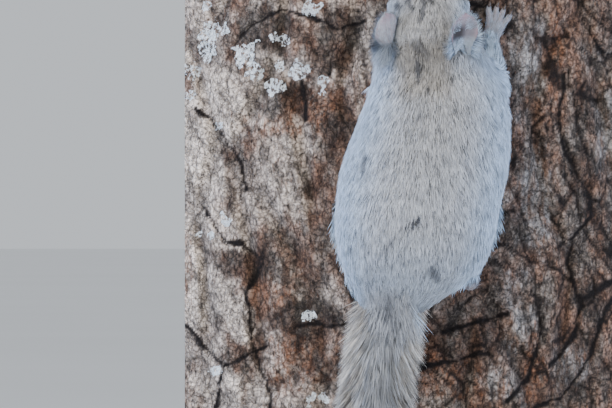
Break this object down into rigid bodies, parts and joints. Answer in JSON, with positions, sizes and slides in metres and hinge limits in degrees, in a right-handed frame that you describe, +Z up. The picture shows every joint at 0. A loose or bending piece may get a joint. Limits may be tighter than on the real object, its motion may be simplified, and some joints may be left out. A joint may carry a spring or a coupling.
{
  "type": "flying squirrel figure",
  "caption": "Life-size flying squirrel clinging head up to a cut slab of tree trunk, held by a plain base and rods.",
  "frame": {"origin": "middle of the base's underside, on the floor", "axes": "+Z up, +Y from the animal's back towards the trunk, +X to the animal's right"},
  "size_m": [0.2, 0.15, 0.3206],
  "materials": {
    "fur": "dense soft fur, matt",
    "tail_fur": "long soft hair, matt",
    "ear_skin": "thin short-haired skin, matt",
    "foot_skin": "short-haired skin, satin",
    "nose_skin": "moist bare skin, satin",
    "eye": "wet gloss",
    "bark": "rough fissured bark",
    "base_wood": "oiled, satin",
    "rod_steel": "brushed"
  },
  "bodies": {
    "root": {"head": "fur", "neck": "fur", "torso": "fur", "arm_right_upper": "fur", "arm_right_fore": "fur", "arm_right_hand": "foot_skin", "arm_left_upper": "fur", "arm_left_fore": "fur", "arm_left_hand": "foot_skin", "leg_right_thigh": "fur", "leg_right_shank": "fur", "leg_right_foot": "foot_skin", "leg_left_thigh": "fur", "leg_left_shank": "fur", "leg_left_foot": "foot_skin", "gliding_membrane_left": "fur", "eye_left": "eye", "ear_left": "ear_skin", "gliding_membrane_right": "fur", "eye_right": "eye", "ear_right": "ear_skin", "nose": "nose_skin", "tail": "tail_fur", "perch_trunk": "bark", "stand_base": "base_wood", "stand_rod_left": "rod_steel", "stand_rod_right": "rod_steel"}
  },
  "joints": []
}
